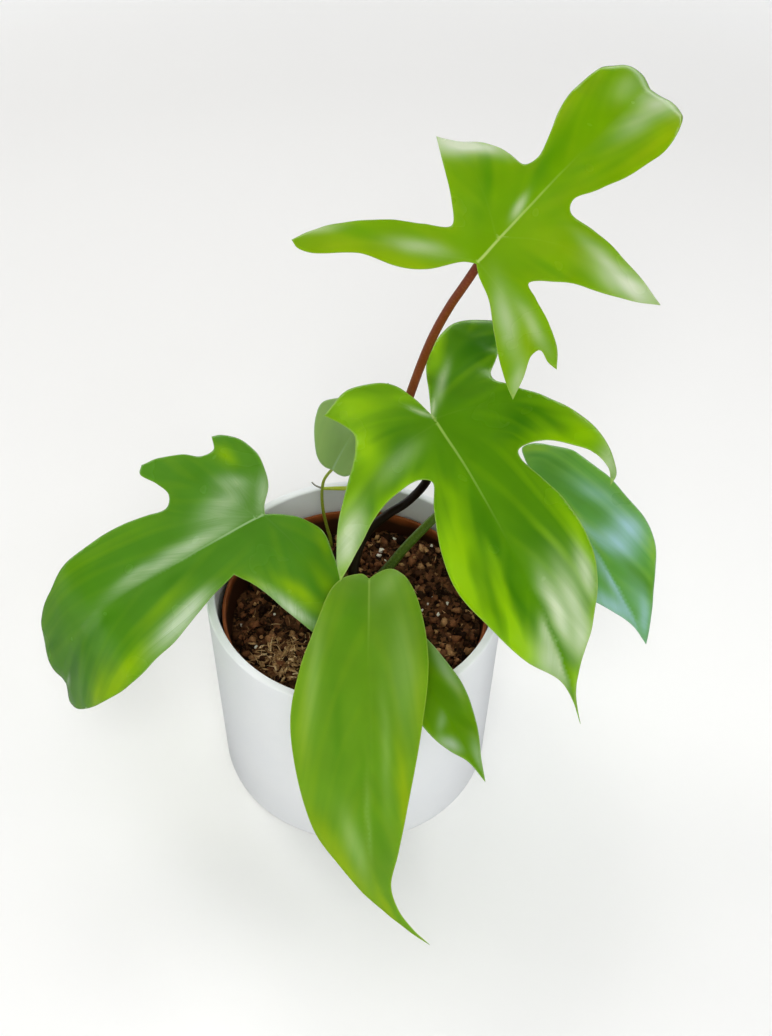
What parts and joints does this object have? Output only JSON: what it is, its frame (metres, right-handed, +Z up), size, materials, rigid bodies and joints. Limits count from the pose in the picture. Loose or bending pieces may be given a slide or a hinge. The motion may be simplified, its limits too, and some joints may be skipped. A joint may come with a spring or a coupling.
{
  "type": "potted philodendron",
  "caption": "Potted philodendron: glossy lobed leaves on thin stalks from a short crown, in a nursery pot of soil inside a plain white cylindrical cover pot.",
  "frame": {"origin": "middle of the cover pot's flat foot, where it rests on the surface", "axes": "+Z up along the pots' axis; -Y towards the front, the side the picture is taken from; +X to the right seen from the front"},
  "size_m": [0.2743, 0.2645, 0.314],
  "materials": {
    "white_glaze": "smooth white glaze, semi-gloss",
    "nursery_plastic": "terracotta-coloured moulded plastic, satin",
    "peat_soil": "dark crumbly peat with pale fibres and white perlite",
    "crown_bark": "olive green and brown stem, ringed",
    "red_stalk": "reddish brown leaf stalk, slightly warty, satin",
    "dark_stalk": "very dark brown leaf stalk, satin",
    "green_stalk": "olive green leaf stalk, satin",
    "lime_leaf": "glossy yellow-green leaf with pale midribs",
    "green_leaf": "satin mid green leaf with a pale midrib",
    "deep_leaf": "glossy dark bluish green leaf",
    "dry_sheath": "dry papery grey sheath"
  },
  "bodies": {
    "root": {"cover_pot": "white_glaze", "nursery_pot": "nursery_plastic", "soil": "peat_soil", "crown": "crown_bark", "top_leaf_stalk": "red_stalk", "top_leaf_blade": "lime_leaf", "middle_leaf_stalk": "dark_stalk", "middle_leaf_blade": "lime_leaf", "left_leaf_stalk": "green_stalk", "left_leaf_blade": "green_leaf", "front_leaf_stalk": "green_stalk", "front_leaf_blade": "green_leaf", "front_right_leaf_stalk": "green_stalk", "front_right_leaf_blade": "deep_leaf", "back_right_leaf_stalk": "green_stalk", "back_right_leaf_blade": "deep_leaf", "side_shoot": "green_stalk", "young_blade": "deep_leaf", "rolled_leaf": "lime_leaf", "sheath_tip": "dry_sheath"}
  },
  "joints": []
}
